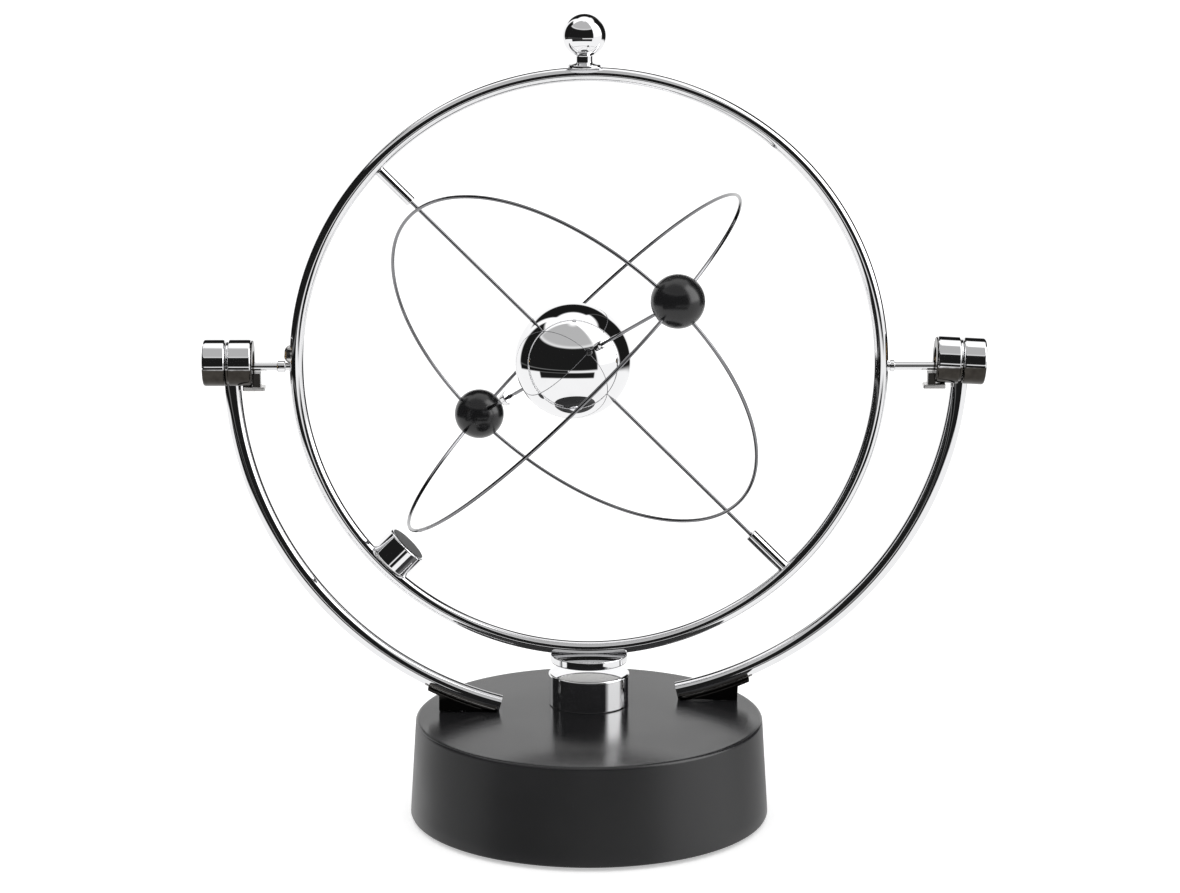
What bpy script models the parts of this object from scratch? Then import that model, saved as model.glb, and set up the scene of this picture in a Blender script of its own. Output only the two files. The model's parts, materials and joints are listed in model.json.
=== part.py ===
"""Electromagnetic orbital desk toy: a chrome ring swings on two curved arms above a coil in a black base.

Inside the ring an axle set at 45 degrees carries a mirror sphere, two wire orbits and two black balls.
The frame has X along the ring's pivot, -Y towards the front, Z up, and the floor at Z = 0.
"""

import math

import bmesh
import bpy
from mathutils import Matrix, Vector

MM = 0.001
DIAGONAL = math.sqrt(0.5)
GAP = 0.1 * MM            # clearance between pieces that touch on the real toy
ORIGIN_X = 1.45 * MM      # the origin is this far right of the ring's centre, midway between the housings

# Floor, base and the height of the ring's centre
FOOT_HEIGHT = 1.0 * MM
BASE_BOTTOM_R = 48.8 * MM
BASE_TOP_R = 47.2 * MM
BASE_TOP = 27.9 * MM
BASE_WALL = 2.0 * MM
BASE_ROOF = 2.2 * MM
BASE_Y = -11.8 * MM       # the arms stand behind the middle of the base
RING_CENTRE_Z = BASE_TOP + 94.6 * MM

# Ring and what it carries
RING_R = 79.05 * MM
RING_ROD_R = 1.95 * MM
PIN_R = 1.1 * MM
PIN_INSIDE = 5.0 * MM     # the pin runs this far into its housing
FINIAL_X = -1.2 * MM      # the finial is brazed on a little left of the top
FINIAL_BALL_R = 5.85 * MM
FINIAL_BALL_UP = 89.2 * MM
FINIAL_NECK_R = 2.2 * MM
DISC_R = 10.6 * MM
DISC_BOTTOM = -82.5 * MM
DISC_HEIGHT = 2.2 * MM
SIDE_HOUSING_R = 6.0 * MM
SIDE_HOUSING_SPAN = (69.8 * MM, 76.75 * MM)

# Arms: mirror images, but each stands a little out of true on its one screw
ARM_R = 96.3 * MM
ARM_ROD_R = 2.3 * MM
ARM_INNER_X = 24.2 * MM
ARM_FOOT_X = 35.5 * MM
FOOT_DEPTH = 6.4 * MM
ARM_LEAN = {"left": math.radians(-3.7), "right": math.radians(3.1)}
ARM_SPLAY = {"left": 0.0, "right": math.radians(2.4)}

# Bearing housings on the arms' tops: two halves that meet at a groove
HOUSING_R = 6.35 * MM
HOUSING_HALF = 6.6 * MM
HOUSING_GROOVE = 0.45 * MM
HOUSING_BORE_R = 4.4 * MM
HOUSING_X = {"left": 97.4 * MM, "right": 100.3 * MM}
HOUSING_UP = {"left": 1.1 * MM, "right": 1.6 * MM}
HOUSING_TILT = {"left": 0.0, "right": math.radians(3.0)}

# Rotor
AXLE_R = 0.5 * MM
AXLE_OFFSET = 1.9 * MM    # the axle passes this far below and left of the ring's centre
ROTOR_SHIFT = -4.1 * MM   # the rotor sits this far up its axle
AXLE_HALF = 74.0 * MM
SPHERE_R = 15.75 * MM
SPHERE_WALL = 0.9 * MM
BALL_R = 7.0 * MM
BALL_ORBIT_R = 60.8 * MM
BALL_TILT = math.radians(1.1)
MERIDIAN_SPAN = 58.7 * MM  # both wire orbits are slightly oval
EQUATOR_SPAN = 63.5 * MM
WIRE_R = 0.5 * MM
MERIDIAN_ASIDE = 1.15 * MM  # the meridian wire runs beside the axle, not through it
HUB_R = 3.0 * MM
WIRE_STOP = BALL_R - 1.4 * MM
ORBITS = (
    ("meridian_upper", MERIDIAN_SPAN, 0.0), ("meridian_lower", MERIDIAN_SPAN, math.pi),
    ("equator_front", EQUATOR_SPAN, 0.0), ("equator_rear", EQUATOR_SPAN, math.pi),
)
ROTOR_TURN = math.radians(53.0)
SLEEVE_END = 65.3 * MM
NEAR_FERRULE = (15.95 * MM, 18.2 * MM, 1.3 * MM)  # from, to and radius: against the sphere
FAR_FERRULE = (40.4 * MM, 43.6 * MM, 2.1 * MM)    # and part of the way to the far ball

# Coil
COIL_R = 11.1 * MM
COIL_TOP = RING_CENTRE_Z - 85.7 * MM

# Battery bay, measured from the middle of the base
CELL_R = 7.1 * MM
CELL_LENGTH = 50.0 * MM
CELL_PITCH = 14.5 * MM
CELL_Z = 11.6 * MM
PLATE_BOTTOM = 1.2 * MM
PLATE_TOP = 3.2 * MM
DOOR_HALF_X = 29.0 * MM
DOOR_HALF_Y = 26.0 * MM
DOOR_HINGE_Y = BASE_Y + 25.6 * MM
DOOR_HINGE_Z = 2.2 * MM
SCREW_CIRCLE_R = 40.0 * MM
FOOT_CIRCLE_R = 41.6 * MM
FOOT_ANGLE = math.radians(52.0)

# Slide switch in the underside
SWITCH_X = -17.0 * MM
SWITCH_Y = BASE_Y - 35.0 * MM
SWITCH_TRAVEL = 4.0 * MM

SIDES = ((-1, "left"), (1, "right"))
QUARTER = [math.pi / 2 * i / 3 for i in range(4)]
AXLE_DIRECTION = Vector((DIAGONAL, 0.0, -DIAGONAL))
MAGNET_DIRECTION = Vector((-DIAGONAL, 0.0, -DIAGONAL))


def clear_scene():
    for obj in list(bpy.data.objects):
        bpy.data.objects.remove(obj, do_unlink=True)


def make_material(name, colour, roughness, metallic):
    material = bpy.data.materials.new(name)
    material.use_nodes = True
    shader = material.node_tree.nodes["Principled BSDF"]
    shader.inputs["Base Color"].default_value = (*colour, 1.0)
    shader.inputs["Roughness"].default_value = roughness
    shader.inputs["Metallic"].default_value = metallic
    material.diffuse_color = (*colour, 1.0)
    return material


def make_empty(name, location, rotation=None, parent=None):
    empty = bpy.data.objects.new(name, None)
    bpy.context.scene.collection.objects.link(empty)
    empty.location = location
    if rotation is not None:
        empty.rotation_euler = rotation.to_euler()
    empty.parent = parent
    return empty


def add_object(name, bm, material, parent=None, location=(0.0, 0.0, 0.0), rotation=None):
    """Closes the mesh's bookkeeping and puts it in the scene as one named piece."""
    bmesh.ops.recalc_face_normals(bm, faces=bm.faces[:])
    mesh = bpy.data.meshes.new(name)
    bm.to_mesh(mesh)
    bm.free()
    mesh.shade_smooth()
    mesh.set_sharp_from_angle(angle=math.radians(35.0))
    mesh.materials.append(material)
    obj = bpy.data.objects.new(name, mesh)
    bpy.context.scene.collection.objects.link(obj)
    obj.location = location
    if rotation is not None:
        obj.rotation_euler = rotation.to_euler()
    obj.parent = parent
    return obj


def combine(target, other, operation="DIFFERENCE"):
    """Adds a Boolean that cuts the other object from the target, or joins it on."""
    other.hide_render = True
    other.display_type = "WIRE"
    modifier = target.modifiers.new(other.name, "BOOLEAN")
    modifier.operation = operation
    modifier.solver = "EXACT"
    modifier.object = other


def turned(profile, segments=24):
    """A solid turned about Z from a closed outline of (radius, height) points."""
    bm = bmesh.new()
    points = [bm.verts.new((radius, 0.0, height)) for radius, height in profile]
    edges = [bm.edges.new((a, b)) for a, b in zip(points, points[1:])]
    if profile[0][0] > 0.0 or profile[-1][0] > 0.0:
        edges.append(bm.edges.new((points[-1], points[0])))
    bmesh.ops.spin(bm, geom=points + edges, cent=(0, 0, 0), axis=(0, 0, 1),
                   angle=math.tau, steps=segments, use_merge=True)
    bmesh.ops.remove_doubles(bm, verts=bm.verts[:], dist=1e-7)
    bmesh.ops.dissolve_degenerate(bm, edges=bm.edges[:], dist=1e-8)
    return bm


def cylinder(radius, low, high, segments=24):
    return turned([(0.0, high), (radius, high), (radius, low), (0.0, low)], segments)


def tube(inner, outer, low, high, segments=20):
    return turned([(inner, high), (outer, high), (outer, low), (inner, low)], segments)


def rounded_cylinder(radius, low, high, bevel, segments=32, steps=3):
    """A cylinder whose two rims are quarter rounds."""
    arc = [math.pi / 2 * i / steps for i in range(steps + 1)]
    top = [(radius - bevel + bevel * math.sin(a), high - bevel + bevel * math.cos(a)) for a in arc]
    bottom = [(r, low + high - z) for r, z in reversed(top)]
    return turned([(0.0, high)] + top + bottom + [(0.0, low)], segments)


def box(size, centre=(0.0, 0.0, 0.0)):
    bm = bmesh.new()
    matrix = Matrix.Translation(centre) @ Matrix.Diagonal((*size, 1.0))
    bmesh.ops.create_cube(bm, size=1.0, matrix=matrix)
    return bm


def bent_rod(radius, bend, start, sweep, steps, sides):
    """A round rod bent about Y in the XZ plane, from one angle through a sweep; a full turn closes it."""
    bm = bmesh.new()
    frame = Matrix.Rotation(-start, 4, "Y") @ Matrix.Translation((bend, 0.0, 0.0))
    made = bmesh.ops.create_circle(bm, cap_ends=False, segments=sides, radius=radius, matrix=frame)
    edges = list({edge for vert in made["verts"] for edge in vert.link_edges})
    whole = abs(sweep) >= math.tau
    bmesh.ops.spin(bm, geom=made["verts"] + edges, cent=(0, 0, 0), axis=(0, -1, 0),
                   angle=sweep, steps=steps, use_merge=whole)
    bmesh.ops.remove_doubles(bm, verts=bm.verts[:], dist=1e-7)
    bmesh.ops.holes_fill(bm, edges=bm.edges[:], sides=sides)
    return bm


def along(direction):
    """The rotation that turns +Z to a direction."""
    return Vector(direction).to_track_quat("Z", "Y").to_matrix()


def ball_profile(radius, start=0.0, stop=math.pi, steps=12):
    """Points of a meridian from one polar angle to another, both measured from +Z."""
    angles = [start + (stop - start) * i / steps for i in range(steps + 1)]
    points = [(radius * math.sin(a), radius * math.cos(a)) for a in angles]
    return [(0.0 if abs(r) < 1e-9 else r, z) for r, z in points]


def base_materials():
    return {
        "black": make_material("black_plastic", (0.03, 0.03, 0.032), 0.4, 0.0),
        "chrome": make_material("chrome", (0.8, 0.8, 0.82), 0.08, 1.0),
        "ball": make_material("ball_black", (0.01, 0.01, 0.011), 0.3, 0.0),
        "rubber": make_material("rubber", (0.05, 0.05, 0.05), 0.8, 0.0),
        "steel": make_material("steel", (0.5, 0.5, 0.52), 0.3, 1.0),
        "copper": make_material("copper", (0.7, 0.32, 0.15), 0.35, 1.0),
        "bronze": make_material("bearing_bronze", (0.6, 0.42, 0.2), 0.35, 1.0),
        "magnet": make_material("magnet_nickel", (0.6, 0.58, 0.54), 0.25, 1.0),
        "board": make_material("board_green", (0.02, 0.2, 0.08), 0.5, 0.0),
        "cell": make_material("cell_jacket", (0.08, 0.09, 0.2), 0.35, 0.0),
        "white": make_material("bobbin_white", (0.75, 0.74, 0.7), 0.5, 0.0),
    }


def screw(name, x, y, head_z, tip_z, head_r, shank_r, material):
    """A pan-head screw standing upright, its head below and its tip above."""
    head = 0.8 * MM
    profile = [
        (0.0, tip_z), (shank_r * 0.4, tip_z), (shank_r, tip_z - shank_r), (shank_r, head_z + head),
        (head_r, head_z + head), (head_r, head_z + 0.3 * MM), (head_r - 0.4 * MM, head_z), (0.0, head_z),
    ]
    add_object(name, turned(profile, 10), material, location=(x, y, 0.0))


def base_screw_places():
    return [(SCREW_CIRCLE_R * math.cos(a), BASE_Y + SCREW_CIRCLE_R * math.sin(a))
            for a in (0.0, math.pi, 3 * math.pi / 2)]


def make_base_shell(mats):
    bottom = FOOT_HEIGHT
    edge = 0.7 * MM
    slope = (BASE_BOTTOM_R - BASE_TOP_R) / (BASE_TOP - bottom)
    arc = [math.pi / 2 * i / 4 for i in range(5)]
    rim = [(BASE_TOP_R - edge + edge * math.sin(a), BASE_TOP - edge + edge * math.cos(a)) for a in arc]
    roof_under = BASE_TOP - BASE_ROOF
    inner_top = BASE_TOP_R - BASE_WALL + slope * BASE_ROOF
    inner_bottom = BASE_BOTTOM_R - BASE_WALL
    profile = [(0.0, BASE_TOP)] + rim + [
        (BASE_BOTTOM_R, bottom + 0.4 * MM), (BASE_BOTTOM_R - 0.4 * MM, bottom),
        (inner_bottom, bottom), (inner_top, roof_under), (0.0, roof_under),
    ]
    shell = add_object("base_shell", turned(profile, 64), mats["black"], location=(0.0, BASE_Y, 0.0))
    boss_top = roof_under + 0.5 * MM
    for number, (x, y) in enumerate(base_screw_places(), 1):
        boss = add_object(f"boss_{number}", cylinder(3.0 * MM, PLATE_TOP + 0.3 * MM, boss_top, 16),
                          mats["black"], location=(x, y, 0.0))
        combine(shell, boss, "UNION")
        hole = add_object(f"boss_hole_{number}", cylinder(1.2 * MM, 0.0, 14.0 * MM, 12),
                          mats["black"], location=(x, y, 0.0))
        combine(shell, hole)
    for side, word in SIDES:
        hole = add_object(f"arm_screw_hole_{word}", cylinder(1.3 * MM, 20 * MM, 35 * MM, 12),
                          mats["black"], location=foot_place(side, word))
        combine(shell, hole)
    lead_hole = add_object("lead_hole", cylinder(2.6 * MM, 20 * MM, 35 * MM, 16), mats["black"])
    combine(shell, lead_hole)


def make_base_plate(mats):
    plate_r = BASE_BOTTOM_R - BASE_WALL - 0.3 * MM
    plate = add_object("base_plate", cylinder(plate_r, PLATE_BOTTOM, PLATE_TOP, 48),
                       mats["black"], location=(0.0, BASE_Y, 0.0))
    opening = box(
        (2 * (DOOR_HALF_X + 0.3 * MM), 2 * DOOR_HALF_Y + 1.2 * MM, 8 * MM),
        (0.0, BASE_Y + 0.3 * MM, 2 * MM),
    )
    combine(plate, add_object("door_opening", opening, mats["black"]))
    slot = box((SWITCH_TRAVEL + 4.4 * MM, 2.8 * MM, 8 * MM), (SWITCH_X, SWITCH_Y, 2 * MM))
    combine(plate, add_object("switch_slot", slot, mats["black"]))
    for number, (x, y) in enumerate(base_screw_places(), 1):
        hole = add_object(f"plate_hole_{number}", cylinder(1.3 * MM, 0.0, 6 * MM, 12),
                          mats["black"], location=(x, y, 0.0))
        combine(plate, hole)
        screw(f"base_screw_{number}", x, y, 0.3 * MM, 11 * MM, 2.6 * MM, 1.05 * MM, mats["steel"])
    foot_angles = (FOOT_ANGLE, math.pi - FOOT_ANGLE, math.pi + FOOT_ANGLE, -FOOT_ANGLE)
    for number, angle in enumerate(foot_angles, 1):
        place = (FOOT_CIRCLE_R * math.cos(angle), BASE_Y + FOOT_CIRCLE_R * math.sin(angle), 0.0)
        foot = rounded_cylinder(4.0 * MM, 0.0, PLATE_BOTTOM - GAP, 0.25 * MM, 14, 1)
        add_object(f"rubber_foot_{number}", foot, mats["rubber"], location=place)


def make_battery_door(mats):
    """The door hangs on two short knuckles at its rear edge and turns down out of the base."""
    hinge = make_empty("door_hinge", (0.0, DOOR_HINGE_Y, DOOR_HINGE_Z))
    depth = 2 * DOOR_HALF_Y
    centre = (0.0, BASE_Y - DOOR_HINGE_Y, 0.0)
    door = add_object("battery_door", box((2 * DOOR_HALF_X, depth, 1.6 * MM), centre),
                      mats["black"], parent=hinge)
    grip_y = BASE_Y - DOOR_HINGE_Y - DOOR_HALF_Y + 6 * MM
    for number in range(3):
        groove = box((18 * MM, 0.8 * MM, 1.0 * MM), (0.0, grip_y + number * 2 * MM, -0.9 * MM))
        combine(door, add_object(f"grip_groove_{number}", groove, mats["black"], parent=hinge))


def make_battery_bay(mats):
    """An upturned tray holds four cells side by side between two contact plates."""
    inner_x = 2 * CELL_PITCH + 0.4 * MM
    inner_y = CELL_LENGTH / 2 + 1.4 * MM
    low, high, wall = PLATE_TOP + 0.4 * MM, 19.6 * MM, 1.2 * MM
    tray = add_object(
        "battery_tray",
        box((2 * (inner_x + wall), 2 * (inner_y + wall), high - low + wall), (0, BASE_Y, (low + high + wall) / 2)),
        mats["black"],
    )
    hollow = box((2 * inner_x, 2 * inner_y, 2 * (high - low)), (0, BASE_Y, low))
    combine(tray, add_object("tray_hollow", hollow, mats["black"]))
    for side, name in ((-1, "contact_plate_front"), (1, "contact_plate_rear")):
        place = (0.0, BASE_Y + side * (inner_y - 0.4 * MM), CELL_Z)
        add_object(name, box((4 * CELL_PITCH - 2 * MM, 0.4 * MM, 11 * MM)), mats["magnet"], location=place)
    for number in range(4):
        flip = 1.0 if number % 2 else -1.0
        half = CELL_LENGTH / 2
        profile = [
            (0.0, half), (2.6 * MM, half), (2.6 * MM, half - 1.2 * MM), (CELL_R, half - 1.2 * MM),
            (CELL_R, 0.3 * MM - half), (CELL_R - 0.3 * MM, -half), (0.0, -half),
        ]
        place = ((number - 1.5) * CELL_PITCH, BASE_Y, CELL_Z)
        add_object(f"battery_cell_{number + 1}", turned(profile, 14), mats["cell"],
                   location=place, rotation=along((0.0, flip, 0.0)))


def make_electronics(mats):
    """A small driver board over the tray, with the transistor that feeds the coil."""
    board_z = 22.2 * MM
    board_y = BASE_Y - 4 * MM
    board = add_object("circuit_board", box((36 * MM, 22 * MM, 1.0 * MM)), mats["board"],
                       location=(0.0, board_y, board_z))
    for number, x in enumerate((-15 * MM, 15 * MM)):
        hole = add_object(f"board_hole_{number}", cylinder(1.2 * MM, -5 * MM, 5 * MM, 12),
                          mats["board"], location=(x, board_y, board_z))
        combine(board, hole)
    top = board_z + 0.7 * MM
    add_object("transistor", box((4.4 * MM, 3.4 * MM, 1.6 * MM), (0, 0, 0.8 * MM)), mats["black"],
               location=(-6 * MM, board_y - 2 * MM, top))


def make_switch(mats):
    body = box((12 * MM, 6 * MM, 5 * MM), (0.0, 0.0, 2.5 * MM))
    add_object("switch_body", body, mats["steel"], location=(SWITCH_X, SWITCH_Y, 5.0 * MM))
    slide = make_empty("switch_slide", (SWITCH_X - SWITCH_TRAVEL / 2, SWITCH_Y, PLATE_BOTTOM))
    knob = box((3.6 * MM, 2.0 * MM, 4.2 * MM), (0.0, 0.0, 1.3 * MM))
    add_object("switch_knob", knob, mats["black"], parent=slide)


def make_coil(mats):
    """A chrome cup over the bobbin, winding and iron core, right under the ring's lowest point."""
    floor = BASE_TOP + GAP
    edge = 0.5 * MM
    rim = [(COIL_R - edge + edge * math.sin(a), COIL_TOP - edge + edge * math.cos(a)) for a in QUARTER]
    inside_r, inside_top = COIL_R - 0.9 * MM, COIL_TOP - 0.9 * MM
    cup = [(0.0, COIL_TOP)] + rim + [(COIL_R, floor), (inside_r, floor), (inside_r, inside_top), (0.0, inside_top)]
    add_object("coil_housing", turned(cup, 36), mats["chrome"])
    low, high, flange = floor + GAP, inside_top - 0.3 * MM, 0.8 * MM
    core_r, barrel_r, flange_r = 2.5 * MM, 3.5 * MM, inside_r - 0.3 * MM
    bobbin = [
        (core_r + GAP, high), (flange_r, high), (flange_r, high - flange), (barrel_r, high - flange),
        (barrel_r, low + flange), (flange_r, low + flange), (flange_r, low), (core_r + GAP, low),
    ]
    add_object("coil_bobbin", turned(bobbin, 18), mats["white"])
    add_object("coil_winding", tube(barrel_r + GAP, flange_r - 0.6 * MM, low + flange + GAP, high - flange - GAP),
               mats["copper"])
    add_object("coil_core", cylinder(core_r, low, high - GAP, 12), mats["steel"])


def arm_frame(side, word):
    """Where an arm stands: splayed about its foot, then leaning about the ring's pivot."""
    foot = Vector((side * ARM_FOOT_X, 0.0, BASE_TOP - RING_CENTRE_Z))
    lean = Matrix.Rotation(ARM_LEAN[word], 4, "X")
    splay = Matrix.Rotation(ARM_SPLAY[word], 4, "Y")
    centre = Matrix.Translation((0.0, 0.0, RING_CENTRE_Z))
    return centre @ lean @ Matrix.Translation(foot) @ splay @ Matrix.Translation(-foot)


def foot_place(side, word):
    """The foot's middle, as a place on the floor."""
    spot = arm_frame(side, word) @ Vector((side * ARM_FOOT_X, 0.0, BASE_TOP - RING_CENTRE_Z))
    return (spot.x, spot.y, 0.0)


def housing_frame(side, word):
    """The frame of a bearing housing, with +Z outwards along it and its middle at the origin."""
    place = Matrix.Translation((side * HOUSING_X[word], 0.0, RING_CENTRE_Z + HOUSING_UP[word]))
    return place @ Matrix.Rotation(HOUSING_TILT[word], 4, "Y") @ along((side, 0.0, 0.0)).to_4x4()


def put(obj, frame):
    obj.location = frame.to_translation()
    obj.rotation_euler = frame.to_euler()
    return obj


def pin_bore(name, side, radius, mats):
    """A cutter along the pivot's line, through a bearing housing's inner half."""
    outside, inside = 85.0 * MM, 99.4 * MM
    bore = cylinder(radius, outside, inside, 16)
    place = (0.0, 0.0, RING_CENTRE_Z)
    return add_object(name, bore, mats["chrome"], location=place, rotation=along((side, 0.0, 0.0)))


def make_arm(side, word, mats):
    """A bent rod brazed under its bearing cup, with a pin rest at the top and a foot at the bottom."""
    stop = math.acos(ARM_INNER_X / ARM_R)
    rod = bent_rod(ARM_ROD_R, ARM_R, 0.0, -stop, 24, 12)
    bmesh.ops.scale(rod, vec=(side, 1, 1), verts=rod.verts[:])
    arm = put(add_object(f"arm_{word}", rod, mats["chrome"]), arm_frame(side, word))
    wall, edge = 1.0 * MM, 0.8 * MM
    inner, seam, spigot = -HOUSING_HALF, -HOUSING_GROOVE, HOUSING_GROOVE - GAP
    rim = [(HOUSING_R - edge + edge * math.sin(a), inner + edge - edge * math.cos(a)) for a in QUARTER]
    cup = [(0.0, inner)] + rim + [
        (HOUSING_R, seam), (HOUSING_R - 0.6 * MM, seam), (HOUSING_R - 0.6 * MM, spigot),
        (HOUSING_BORE_R, spigot), (HOUSING_BORE_R, inner + wall), (0.0, inner + wall),
    ]
    frame = housing_frame(side, word)
    combine(arm, put(add_object(f"bearing_cup_{word}", turned(cup, 28), mats["chrome"]), frame), "UNION")
    past_rod = 3.5 * MM
    bore = [
        (0.0, inner + wall), (HOUSING_BORE_R, inner + wall), (HOUSING_BORE_R, spigot),
        (HOUSING_R + GAP, spigot), (HOUSING_R + GAP, past_rod), (0.0, past_rod),
    ]
    combine(arm, put(add_object(f"bearing_bore_{word}", turned(bore, 28), mats["chrome"]), frame))
    rest = add_object(f"pin_rest_{word}", pin_rest(side, word), mats["chrome"], location=(0.0, 0.0, RING_CENTRE_Z))
    combine(arm, rest, "UNION")
    combine(arm, pin_bore(f"cup_bore_{word}", side, PIN_R + 0.4 * MM, mats))
    make_foot(arm, side, word, mats)


def pin_rest(side, word):
    """A small angle under the bearing cup whose upright tab stands below the pin."""
    inner = HOUSING_X[word] - HOUSING_HALF
    under = HOUSING_UP[word] - HOUSING_R
    low, high, tab_top = under - 1.2 * MM, under + 0.4 * MM, -PIN_R - 0.5 * MM
    out, tab_out, tab_in, far = inner - 3.4 * MM, inner - 2.0 * MM, inner - 0.4 * MM, inner + 2.6 * MM
    lip_top = under - 0.1 * MM
    outline = [
        (out, low), (far, low), (far, high), (inner + 1.2 * MM, high), (inner + 1.2 * MM, lip_top),
        (tab_in, lip_top), (tab_in, tab_top), (tab_out, tab_top), (tab_out, lip_top), (out, lip_top),
    ]
    return extruded([(side * x, z) for x, z in outline], 4.4 * MM)


def make_bearing(side, word, mats):
    """The outer cap of a bearing housing, and the bronze bush inside with its hole on the pivot's line."""
    frame = housing_frame(side, word)
    edge, end_wall, seam = 0.8 * MM, 1.2 * MM, HOUSING_GROOVE
    rim = [(HOUSING_R - edge + edge * math.sin(a), HOUSING_HALF - edge + edge * math.cos(a)) for a in QUARTER]
    cap = [(0.0, HOUSING_HALF)] + rim + [
        (HOUSING_R, seam), (HOUSING_BORE_R, seam), (HOUSING_BORE_R, HOUSING_HALF - end_wall),
        (0.0, HOUSING_HALF - end_wall),
    ]
    put(add_object(f"bearing_cap_{word}", turned(cap, 28), mats["chrome"]), frame)
    disc = cylinder(HOUSING_BORE_R - GAP, 1.1 * MM - HOUSING_HALF, -HOUSING_GROOVE, 18)
    bush = put(add_object(f"bearing_bush_{word}", disc, mats["bronze"]), frame)
    combine(bush, pin_bore(f"bush_bore_{word}", side, PIN_R + 0.1 * MM, mats))


def extruded(outline, depth):
    """A flat outline in XZ, made solid across Y and centred on it."""
    bm = bmesh.new()
    face = bm.faces.new([bm.verts.new((x, -depth / 2, z)) for x, z in outline])
    made = bmesh.ops.extrude_face_region(bm, geom=[face])
    moved = [item for item in made["geom"] if isinstance(item, bmesh.types.BMVert)]
    bmesh.ops.translate(bm, vec=(0.0, depth, 0.0), verts=moved)
    return bm


def make_foot(arm, side, word, mats):
    """A wedge brazed under the rod, with a thin tongue that runs on outwards, and the screw that holds it."""
    drop = BASE_TOP - RING_CENTRE_Z
    under_r = ARM_R + ARM_ROD_R - 0.5 * MM
    block_outer, tongue_outer, inner = 41.0 * MM, 44.2 * MM, 25.4 * MM
    tongue = 1.2 * MM
    sunk = drop - 2.0 * MM

    def on_circle(radius, x):
        return (side * x, -math.sqrt(radius * radius - x * x))

    outline = [(side * inner, sunk), (side * block_outer, sunk)]
    outline += [on_circle(under_r + tongue, block_outer), on_circle(under_r + tongue, tongue_outer)]
    steps = 6
    outline += [on_circle(under_r, tongue_outer + (inner - tongue_outer) * i / steps) for i in range(steps + 1)]
    block = add_object(f"foot_block_{word}", extruded(outline, FOOT_DEPTH), mats["chrome"])
    combine(arm, put(block, arm_frame(side, word)), "UNION")
    trim = box((60 * MM, 40 * MM, 10 * MM), (side * 30 * MM, 0.0, BASE_TOP + GAP - 5 * MM))
    combine(arm, add_object(f"foot_trim_{word}", trim, mats["chrome"]))
    place = foot_place(side, word)
    hole = cylinder(1.2 * MM, BASE_TOP - 5 * MM, BASE_TOP + 2.9 * MM, 12)
    combine(arm, add_object(f"foot_hole_{word}", hole, mats["chrome"], location=place))
    head_z = BASE_TOP - BASE_ROOF - 1.0 * MM
    screw(f"arm_screw_{word}", place[0], place[1], head_z, BASE_TOP + 2.6 * MM, 2.4 * MM, 1.05 * MM, mats["steel"])


def make_ring(pivot, mats):
    add_object("outer_ring", bent_rod(RING_ROD_R, RING_R, 0.0, math.tau, 72, 10), mats["chrome"], parent=pivot)
    ring_outside = RING_R + RING_ROD_R
    for side, word, collar in ((-1, "left", (81.9, 84.0)), (1, "right", (81.3, 82.5))):
        low, high = collar[0] * MM, collar[1] * MM
        end = HOUSING_X[word] - HOUSING_HALF + PIN_INSIDE
        profile = [
            (0.0, end), (PIN_R * 0.5, end), (PIN_R, end - PIN_R), (PIN_R, high), (1.6 * MM, high),
            (1.6 * MM, low), (PIN_R, low), (PIN_R, ring_outside + GAP), (0.0, ring_outside + GAP),
        ]
        add_object(f"pivot_pin_{word}", turned(profile, 12), mats["chrome"],
                   parent=pivot, rotation=along((side, 0.0, 0.0)))
    make_finial(pivot, mats)
    make_magnet_disc(pivot, mats)
    make_side_magnet(pivot, mats)


def make_finial(pivot, mats):
    """A hollow ball screwed to a short neck whose saddle sits on the ring."""
    saddle_low, saddle_high = 79.6 * MM, 81.9 * MM
    neck_high = 84.8 * MM
    profile = [
        (0.0, neck_high), (FINIAL_NECK_R - 0.3 * MM, neck_high), (FINIAL_NECK_R, neck_high - 0.3 * MM),
        (FINIAL_NECK_R, saddle_high), (3.0 * MM, saddle_high), (3.0 * MM, saddle_low), (0.0, saddle_low),
    ]
    neck = add_object("finial_neck", turned(profile, 20), mats["chrome"], parent=pivot,
                      location=(FINIAL_X, 0.0, 0.0))
    combine(neck, ring_groove("neck_groove", pivot, mats))
    mouth = 1.3 * MM
    inner_r = FINIAL_BALL_R - 0.8 * MM
    outside = ball_profile(FINIAL_BALL_R, 0.0, math.pi - math.asin(mouth / FINIAL_BALL_R), 10)
    inside = ball_profile(inner_r, 0.0, math.pi - math.asin(mouth / inner_r), 4)
    ball_at = (FINIAL_X, 0.0, FINIAL_BALL_UP)
    shell = add_object("finial_ball", turned(outside + inside[::-1], 20), mats["chrome"], parent=pivot,
                       location=ball_at)
    seat = add_object("finial_seat", cylinder(FINIAL_NECK_R + GAP, -9 * MM, neck_high + GAP - FINIAL_BALL_UP, 20),
                      mats["chrome"], parent=pivot, location=ball_at)
    combine(shell, seat)


def ring_groove(name, pivot, mats):
    """A cutter as thick as the ring's rod with its clearance."""
    rod = bent_rod(RING_ROD_R + GAP, RING_R, 0.0, math.tau, 72, 10)
    return add_object(name, rod, mats["chrome"], parent=pivot)


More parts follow.
